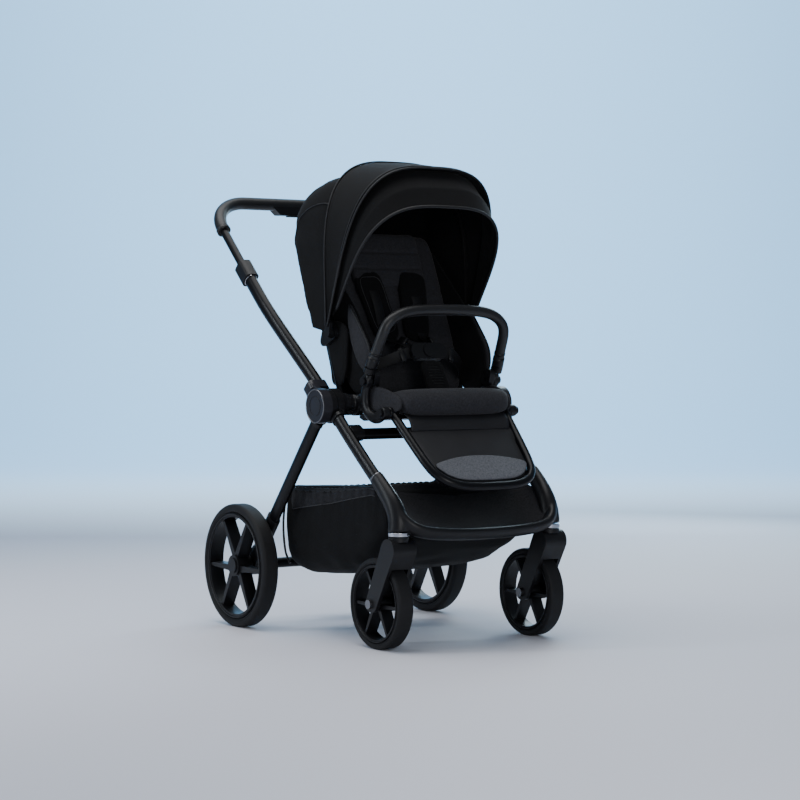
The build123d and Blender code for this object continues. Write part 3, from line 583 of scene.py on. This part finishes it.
noseParts = [sweepMesh(smoothLine(nosePoints, 140), noseSection)]
for tag, s in sides:
    columnLine = smoothLine([pt(s * x, y, z) for x, y, z in columnPath], 50)
    noseParts.append(sweepMesh(columnLine, columnSection, up=Vector((0, 1, 0.2))))
noseShell = addPiece("noseShell", mergeMeshes(noseParts), "black_plastic", "front_frame")
blendSolid(noseShell, 0.0022, 10)
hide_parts("nose_frame")
for tag, s in sides:
    collarLine = [pt(s * 209.6, 7, 367), pt(s * 209.9, 10, 370.5)]
    addSweep("legCollar" + tag, collarLine, ovalSection(13.6, 18.2), "steel", "front_frame",
             up=Vector((0, 1, 0.2)))
print("basket made")

# The seat pad steps in near the leg rest's hinge, to leave room for the release buttons.
seat = {"half": 147.0, "pivotY": 35.0, "pivotZ": 506.0, "buttonRoom": 16.0}


def cushionMesh(name, halfWidth, outline, finish, body, crown=3.5, squareness=5.0):
    ring = smoothLine([Vector((0, y, z)) for y, z in outline], 72, closed=True)
    centre = sum(ring, Vector()) / len(ring)
    rows = []
    steps = 40
    for i in range(steps + 1):
        u = -cos(pi * i / steps)
        fall = (1 - abs(u) ** squareness) ** (1 / squareness) if abs(u) < 1 else 0.0
        row = []
        for p in ring:
            q = centre.lerp(p, max(0.02, fall ** 0.55)) if fall < 0.999 else p
            w = q + (p - centre).normalized() * crown * (1 - u * u)
            away = sqrt(((w.y - seat["pivotY"]) / 34) ** 2 + ((w.z - seat["pivotZ"]) / 30) ** 2)
            near = 1 - min(1.0, away)
            row.append(pt(u * (halfWidth - seat["buttonRoom"] * near ** 0.5), w.y, w.z))
        rows.append(row)
    return addPiece(name, gridMesh(rows, closeAcross=True, caps=True), finish, body)


seatOutline = [(6, 501), (-6, 508), (-11, 524), (-8, 540), (4, 552), (24, 557), (60, 551), (120, 547),
               (170, 547), (177, 540), (177, 508), (170, 502), (90, 502), (30, 500)]
seatCushion = cushionMesh("seatPad", seat["half"], seatOutline, "lining_cloth", "seat")
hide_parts("seat_cushion")
pipingLine = [pt(x, -5.5 + x ** 2 * 0.0005, 512 - abs(x) * 0.01) for x in range(-132, 133, 12)]
addSweep("seatFrontPiping", smoothLine(pipingLine, 50), circleSection(1.7, 8), "binding", "seat")


# the backrest is drawn upright, as millimetres up from its hinge and behind its front face
backrest = {"lean": 22.0, "hingeY": 150.0, "hingeZ": 520.0, "squareness": 5.0, "bolster": 9.0}


def backPoint(x, up, behind):
    a = radians(backrest["lean"])
    return pt(x, backrest["hingeY"] + up * sin(a) + behind * cos(a),
              backrest["hingeZ"] + up * cos(a) - behind * sin(a))


def backPad(name, halfWidth, low, high, front, back, finish, channels):
    rows = []
    steps, across = 46, 56
    for i in range(steps + 1):
        t = i / steps
        up = lerp(low, high, t)
        endFall = sqrt(max(0.0, 1 - abs(2 * t - 1) ** 7))
        row = []
        for j in range(across):
            phi = 2 * pi * j / across
            c, s = cos(phi), sin(phi)
            n = backrest["squareness"]
            x = halfWidth * (0.9 + 0.1 * endFall) * (1 if c > 0 else -1) * abs(c) ** (2 / n)
            depth = (1 if s > 0 else -1) * max(0.0, abs(s)) ** (2 / n)
            thick = (back - front) / 2 * max(0.06, endFall)
            bolster = backrest["bolster"] * max(0.0, (abs(x) / halfWidth - 0.62) / 0.38) ** 1.5
            behind = (front + back) / 2 + depth * thick
            if depth < 0:
                behind += channels(x, up) * abs(depth) - bolster * abs(depth) * endFall
                behind -= 4 * (1 - (x / halfWidth) ** 2) * endFall * abs(depth)
            row.append(backPoint(x, up, behind))
        rows.append(row)
    return addPiece(name, gridMesh(rows, closeAcross=True, caps=True), finish, "backrest")


def linerSeams(x, up):
    return (groove(abs(x) - 96, 3.5, 4) + groove(up - 150, 4, 4) + groove(up - 285, 4, 3.5)
            + 0.6 * sin(up * 0.05 + x * 0.02))


backCushion = backPad("backrestPad", 148, 44, 428, 17, 46, "lining_cloth", linerSeams)
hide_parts("backrest_cushion")


def headSeams(x, up):
    return groove(up - 335, 3.5, 4) + groove(up - 375, 3.5, 4) + groove(abs(x) - 40, 3.0, 3)


headPad = backPad("headPad", 96, 292, 424, 4, 19, "lining_cloth", headSeams)

# The harness: shoulder pads and straps lie on the backrest, the waist straps on the seat.
harness = {"padX": 56.0, "strapWidth": 25.0, "strapThick": 2.2, "sliderWidth": 33.0, "sliderThick": 7.0}
strapCut = strapSection(harness["strapWidth"], harness["strapThick"])
sliderCut = strapSection(harness["sliderWidth"], harness["sliderThick"])
wingShape = ((120, 560), (108, 600), (112, 650), (150, 700), (192, 748), (246, 800), (300, 850), (325, 870),
             (318, 820), (285, 740), (245, 650), (215, 580), (170, 545))
padShape = ((-44, 168), (10, 160), (30, 240), (38, 314), (6, 326), (-28, 316), (-40, 240))
for tag, s in sides:
    wingOutline = [pt(s * 153, y, z) for y, z in wingShape]
    wing = pillow("seatWing" + tag, wingOutline, 5, 5, "black_cloth", "backrest")
    padOutline = [backPoint(s * (harness["padX"] + dx), up, 6) for dx, up in padShape]
    shoulder = pillow("shoulderPad" + tag, padOutline, 9, 7, "black_cloth", "backrest")
    padCentre = sum(padOutline, Vector()) / len(padOutline)
    padSeam = [p.lerp(padCentre, 0.2) + Vector((0, -0.0062, 0.002)) for p in padOutline]
    addSweep("shoulderSeam" + tag, smoothLine(padSeam, 60, closed=True), circleSection(0.7, 8), "stitch",
             "backrest", closed=True)
    if s == 1:
        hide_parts("seat_side_wings")
        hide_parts("shoulder_pads")
    strap = smoothLine([backPoint(s * 56, 322, 9), backPoint(s * 55, 250, -3), backPoint(s * 50, 165, -2),
                        pt(s * 40, 150, 655), pt(s * 30, 124, 640)], 40)
    shoulderUp = Vector((0, -s * 1.0, 0))
    addSweep("shoulderStrap" + tag, strap, strapCut, "webbing", "backrest", up=shoulderUp)
    waist = smoothLine([pt(s * 132, 176, 585), pt(s * 112, 150, 608), pt(s * 76, 124, 628),
                        pt(s * 44, 121, 637)], 30)
    waistUp = Vector((0, -1, 0.35))
    addSweep("waistStrap" + tag, waist, strapCut, "webbing", "seat", up=waistUp)
    addSweep("shoulderSlider" + tag, strap[-9:-5], sliderCut, "black_plastic", "backrest", up=shoulderUp)
    addSweep("waistSlider" + tag, waist[-8:-4], sliderCut, "black_plastic", "seat", up=waistUp)

# The crotch pad rises from the seat to the buckle, with woven ribs across it.
crotch = {"half": 29.0, "ribs": 11, "lift": 6.0}
crotchShape = ((-0.86, 68, 549), (0.86, 68, 549), (1, 88, 580), (0.9, 106, 612), (0, 110, 618),
               (-0.9, 106, 612), (-1, 88, 580))
crotchOutline = [pt(x * crotch["half"], y, z) for x, y, z in crotchShape]
crotchPad = pillow("crotchPad", crotchOutline, crotch["lift"], 6, "black_cloth", "seat")
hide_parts("crotch_pad")
for k in range(crotch["ribs"]):
    t = (k + 0.7) / crotch["ribs"]
    rib = []
    for i in range(21):
        u = i / 10 - 1
        rise = crotch["lift"] * (1 - abs(u) ** 3) * (1 - abs(2 * t - 1) ** 4) - 0.2
        rib.append(pt(u * crotch["half"] * 0.86, 68 + 40 * t - rise * 0.85, 549 + 66 * t + rise * 0.52))
    addSweep("crotchRib" + str(k), rib, circleSection(1.3, 8), "webbing", "seat")
print("seat made")

# The bumper bar is a bent tube in leatherette, mirrored about its middle.
bumper = {"radius": 12.0, "collar": 13.4, "ring": 12.8}
bumperRight = [(-172, 88, 604), (-168, 72, 638), (-163, 52, 680), (-152, 46, 703), (-126, 43, 720),
               (-92, 41.5, 728), (-45, 41, 731), (0, 41, 731.5)]
bumperPoints = [pt(*p) for p in bumperRight] + [pt(-x, y, z) for x, y, z in reversed(bumperRight[:-1])]
bumperLine = smoothLine(bumperPoints, 90)
bumperCover = addSweep("bumperGrip", bumperLine, circleSection(bumper["radius"], 24), "leatherette", "bumper")
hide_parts("bumper_bar")
underside = [p - Vector((0, -0.002, 0.0118)) for p in bumperLine[21:70]]
addSweep("bumperSeam", underside, circleSection(0.9, 8), "stitch", "bumper")
sleeveShape = ((188, 640), (190, 690), (232, 706), (292, 694), (276, 652), (257, 602), (246, 566),
               (212, 566), (192, 596))
flapShape = ((160, 120, 560), (157, 84, 562), (150, 44, 553), (146, 10, 536), (148, 10, 514), (156, 40, 507),
             (161, 84, 508), (162, 122, 524))
leafShape = ((190, 744), (150, 700), (112, 652), (104, 618), (110, 594), (147, 606), (178, 650), (196, 700))
for tag, s in sides:
    ends = bumperLine[::-1] if s == 1 else bumperLine
    addSweep("bumperCollar" + tag, ends[:5], circleSection(bumper["collar"], 24), "black_plastic", "bumper")
    addSweep("bumperCollarRing" + tag, ends[5:7], circleSection(bumper["ring"], 24), "black_plastic", "bumper")
    sleeveOutline = [pt(s * 167, y, z) for y, z in sleeveShape]
    sleeve = pillow("seatSleeve" + tag, sleeveOutline, 5, 4, "black_cloth", "backrest")
    flapOutline = [pt(s * x, y, z) for x, y, z in flapShape]
    flap = pillow("seatFlap" + tag, flapOutline, 6, 4, "lining_cloth", "seat")
    leafOutline = [pt(s * 160, y, z) for y, z in leafShape]
    leaf = pillow("linerLeaf" + tag, leafOutline, 4, 4, "lining_cloth", "backrest")
    edgeLine = smoothLine([p + Vector((s * 0.003, -0.001, 0)) for p in leafOutline[:5]], 40)
    addSweep("linerBinding" + tag, edgeLine, circleSection(2.2, 8), "binding", "backrest")
print("bumper bar and side cloths made")

# The leg rest is drawn flat, as millimetres down from its hinge, and turned by restPoint.
legRest = {"angle": 44.0, "hingeY": 35.0, "hingeZ": 506.0, "panelDeep": 5.0, "skirt": 0.0015}


def restPoint(x, down, lift):
    a = radians(legRest["angle"])
    return pt(x, legRest["hingeY"] - down * cos(a) - lift * sin(a),
              legRest["hingeZ"] - down * sin(a) + lift * cos(a))


panelShape = ((-135, 52), (0, 52), (135, 52), (131, 100), (126, 146), (117, 176), (98, 197), (70, 209),
              (0, 213.5), (-70, 209), (-98, 197), (-117, 176), (-126, 146), (-131, 100))
panelOutline = [restPoint(x, d, 0) for x, d in panelShape]
deep = legRest["panelDeep"]
restPanel = pillow("legRestPanel", panelOutline, deep, deep, "charcoal_panel", "leg_rest", count=96)
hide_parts("leg_rest_panel")
patchShape = ((-110, 183), (-120, 164), (-100, 154), (-52, 143), (0, 139.5), (52, 143), (100, 154),
              (120, 164), (110, 183), (96, 196), (66, 208), (0, 211.5), (-66, 208), (-96, 196))
patchOutline = [restPoint(x, d, deep + 0.9) for x, d in patchShape]
restPatch = pillow("legRestMesh", patchOutline, 0.8, 4.0, "meshPatch", "leg_rest", count=96)
addSweep("legRestPatchSeam", smoothLine(patchOutline[1:8], 60), circleSection(1.2, 8), "binding",
         "leg_rest")
restTube = [(151, 0), (149.5, 20), (145.5, 70), (141.5, 112), (137, 150), (128, 182), (108, 206),
            (78, 219.5), (40, 224), (0, 224.5)]
tubePoints = [restPoint(-x, d, 0) for x, d in restTube]
tubePoints += [restPoint(x, d, 0) for x, d in reversed(restTube[:-1])]
restParts = [sweepMesh(smoothLine(tubePoints, 120), ovalSection(9.6, 10))]
for s in (1, -1):
    restParts.append(discMesh(s * 142, s * 162.4, legRest["hingeY"], legRest["hingeZ"], 13))
restShell = addPiece("legRestTube", mergeMeshes(restParts), "gloss_tube", "leg_rest")
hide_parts("leg_rest_frame")
skirtRows = []
for i in range(15):
    t = i / 14
    row = []
    for j in range(41):
        u = j / 20 - 1
        top = pt(u * 134, 12, 503)
        low = restPoint(u * 132, 60, 4.0)
        p = top.lerp(low, t)
        slack = Vector((0, -0.006, 0.003)) * sin(pi * t)
        row.append(p + slack + Vector((0, 0, 0.001 * wrinkle(p, 60, 1.0))))
    skirtRows.append(row)
skirt = addPiece("legRestSkirt", gridMesh(skirtRows), "charcoal_panel", None)
solidify(skirt, legRest["skirt"], 0.0)
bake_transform(skirt)
backingShape = ((-128, 60), (0, 60), (128, 60), (122, 150), (112, 200), (0, 204), (-112, 200), (-122, 150))
backingLine = [restPoint(x, d, -9) for x, d in backingShape]
pillow("legRestBacking", backingLine, 2.5, 4, "black_plastic", "leg_rest")
print("leg rest made")

# Rings on both faces of each wheel: a lip on the rim and a bead on the tyre wall.
wheelLook = {"lip": 0.832, "lipRadius": 1.9, "wall": 0.9, "wallRadius": 1.0}
wheelSizes = (("rear", 265.7, 495.5, 142.5, 40), ("front", 202.4, 0, 98.4, 38))
for corner, wheelX, wheelY, wheelR, wide in wheelSizes:
    rings = (("Lip", wheelLook["lip"] * wheelR, wheelLook["lipRadius"], wide / 2 - 1.6, "black_plastic"),
             ("Wall", wheelLook["wall"] * wheelR, wheelLook["wallRadius"], wide / 2 - 0.3, "tyre"))
    for tag, s in sides:
        for face in (-1, 1):
            facing = "Outer" if face * s > 0 else "Inner"
            for name, reach, radius, out, finish in rings:
                ring = circleAt(s * wheelX + face * out, wheelY, wheelR, reach, 96)
                addSweep(corner + name + tag + facing, ring, circleSection(radius, 10), finish,
                         corner + "_wheel_" + tag.lower(), up=Vector((1, 0, 0)), closed=True)
print("wheels made")

# The handle tubes leave the hubs at one slope.
handle = {"slope": 43.5, "hubY": 183.0, "hubZ": 519.0, "x": 245.0, "ring": 36.5, "groove": 22.0}


def handlePoint(x, along):
    a = radians(handle["slope"])
    return pt(x, handle["hubY"] + along * cos(a), handle["hubZ"] + along * sin(a))


gripSection = circleSection(16.6, 24)
clampSection = ovalSection(17.5 * 0.82, 17.5 * 1.05)
tubeRoute = ((217, 50), (221, 100), (228, 165), (235.5, 230), (241.5, 290), (244.6, 345), (245, 432))
armRoute = ((96, 590), (103, 568), (110, 546), (110, 524), (100, 506), (80, 496), (58, 495), (36, 505))
bridgeRoute = ((108, 536), (122, 530), (136, 525), (152, 522))
armDiscs = ((164, 180, 102, 574, 14.5), (163, 180, 35, 506, 13.5), (163, 197, 152, 526, 17),
            (160, 179, 150, 521, 24))
for tag, s in sides:
    sideways = Vector((1, 0, 0))
    ringLine = circleAt(s * 256.4, handle["hubY"], handle["hubZ"], handle["ring"], 80)
    addSweep("hubRing" + tag, ringLine, circleSection(1.3, 8), "steel", "handle", up=sideways, closed=True)
    grooveLine = circleAt(s * 256.2, handle["hubY"], handle["hubZ"], handle["groove"], 60)
    addSweep("hubGroove" + tag, grooveLine, circleSection(0.7, 8), "black_plastic", "handle", up=sideways,
             closed=True)
    gripSpots = [handlePoint(s * handle["x"], along) for along in (583, 592)]
    addSweep("gripCollar" + tag, gripSpots, gripSection, "leatherette", "handle_upper")
    clampSpots = [handlePoint(s * handle["x"], along) for along in (412, 415)]
    addSweep("clampRing" + tag, clampSpots, clampSection, "chrome_trim", "handle")
    armLine = smoothLine([pt(s * 171.5, y, z) for y, z in armRoute], 60)
    bridgeLine = [pt(s * 170, y, z) for y, z in bridgeRoute]
    armParts = [sweepMesh(armLine, ovalSection(12.5, 8.5), up=sideways * s)]
    armParts += [discMesh(s * x0, s * x1, y, z, r) for x0, x1, y, z, r in armDiscs]
    armParts.append(sweepMesh(bridgeLine, ovalSection(20, 8), up=sideways * s))
    arm = addPiece("seatArm" + tag, mergeMeshes(armParts), "black_plastic", "seat")
    blendSolid(arm, 0.0018, 6)
    tubeLine = smoothLine([handlePoint(s * x, along) for x, along in tubeRoute], 80)
    tube = addSweep("handleTube" + tag, tubeLine, ovalSection(13, 17, 32), "gloss_tube", "handle",
                    up=Vector((0, -0.7, 0.7)))
    if s == 1:
        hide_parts("seat_arms")
        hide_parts("handle_tubes")
print("details made")

# A pale floor that curves up into a wall behind the stroller.
stageLook = {"floor": (0.70, 0.70, 0.76), "wall": (0.30, 0.52, 0.80), "sky": (0.72, 0.82, 0.95),
             "skyStrength": 0.24, "rough": 0.75, "fadeFrom": 0.6, "fadeTo": 7.5, "cove": 4.0}
view = {"place": (-2.779, -4.164, 0.661), "tilt": 88.46, "turn": 34.06, "lens": 97.84}
forward = Vector((sin(radians(view["turn"])), cos(radians(view["turn"])), 0))
across = Vector((forward.y, -forward.x, 0))
coveProfile = [(-14.0, 0.0), (6.0, 0.0)]
cove = stageLook["cove"]
coveProfile += [(6 + cove * sin(radians(a)), cove - cove * cos(radians(a))) for a in range(6, 91, 6)]
coveProfile += [(10.0, 12.0)]
coveRows = [[forward * u + across * w + Vector((0, 0, z)) for w in (-22.0, 22.0)] for u, z in coveProfile]
coveBm = gridMesh(coveRows)
coveData = bpy.data.meshes.new("floor")
coveBm.to_mesh(coveData)
coveBm.free()
for face in coveData.polygons:
    face.use_smooth = True
floorMaterial = bpy.data.materials.new("floor")
floorMaterial.use_nodes = True
floorNodes, floorLinks = floorMaterial.node_tree.nodes, floorMaterial.node_tree.links
floorShader = floorNodes["Principled BSDF"]
floorShader.inputs["Roughness"].default_value = stageLook["rough"]
floorShader.inputs["Specular IOR Level"].default_value = 0.15
floorCoords = floorNodes.new("ShaderNodeTexCoord")
floorSplit = floorNodes.new("ShaderNodeVectorMath")
floorSplit.operation = "DOT_PRODUCT"
floorSplit.inputs[1].default_value = forward
floorRange = floorNodes.new("ShaderNodeMapRange")
floorRange.interpolation_type = "SMOOTHSTEP"
floorRange.inputs["From Min"].default_value = stageLook["fadeFrom"]
floorRange.inputs["From Max"].default_value = stageLook["fadeTo"]
floorMix = floorNodes.new("ShaderNodeMix")
floorMix.data_type = "RGBA"
floorMix.inputs[6].default_value = (*stageLook["floor"], 1)
floorMix.inputs[7].default_value = (*stageLook["wall"], 1)
floorLinks.new(floorCoords.outputs["Object"], floorSplit.inputs[0])
floorLinks.new(floorSplit.outputs["Value"], floorRange.inputs["Value"])
floorLinks.new(floorRange.outputs["Result"], floorMix.inputs["Factor"])
floorLinks.new(floorMix.outputs[2], floorShader.inputs["Base Color"])
coveData.materials.append(floorMaterial)
floor = bpy.data.objects.new("floor", coveData)
bpy.context.scene.collection.objects.link(floor)
world = bpy.data.worlds.new("studio")
bpy.context.scene.world = world
world.use_nodes = True
background = world.node_tree.nodes["Background"]
background.inputs["Color"].default_value = (*stageLook["sky"], 1)
background.inputs["Strength"].default_value = stageLook["skyStrength"]


def addLight(name, place, target, size, power, color):
    data = bpy.data.lights.new(name, "AREA")
    data.shape = "RECTANGLE"
    data.size, data.size_y = size
    data.energy = power
    data.color = color
    obj = bpy.data.objects.new(name, data)
    obj.location = place
    obj.rotation_euler = (Vector(target) - Vector(place)).to_track_quat("-Z", "Y").to_euler()
    bpy.context.scene.collection.objects.link(obj)


# each light: name, place, what it faces, width and height in metres, watts, colour
lights = (
    ("overhead", (-0.3, 0.2, 3.0), (0, 0, 0.4), (2.6, 2.6), 75, (1, 1, 1)),
    ("leftStrip", (-2.8, 0.8, 1.5), (0, 0, 0.55), (0.25, 2.0), 34, (0.86, 0.93, 1)),
    ("rightBack", (2.4, 1.6, 1.7), (0, 0, 0.6), (1.0, 2.2), 45, (0.8, 0.95, 1)),
    ("frontFill", (-1.0, -3.4, 1.1), (0, 0, 0.75), (1.2, 1.2), 30, (1, 1, 1)),
    ("wallGlow", forward * 4 + Vector((0, 0, 5)), forward * 10 + Vector((0, 0, 3)), (4, 4), 1100,
     (0.85, 1, 1)),
)
for light in lights:
    addLight(*light)

cameraData = bpy.data.cameras.new("camera")
cameraData.lens = view["lens"]
cameraData.sensor_width = 36
camera = bpy.data.objects.new("camera", cameraData)
camera.location = view["place"]
camera.rotation_euler = (radians(view["tilt"]), 0, radians(-view["turn"]))
bpy.context.scene.collection.objects.link(camera)
bpy.context.scene.camera = camera
print("stage ready")
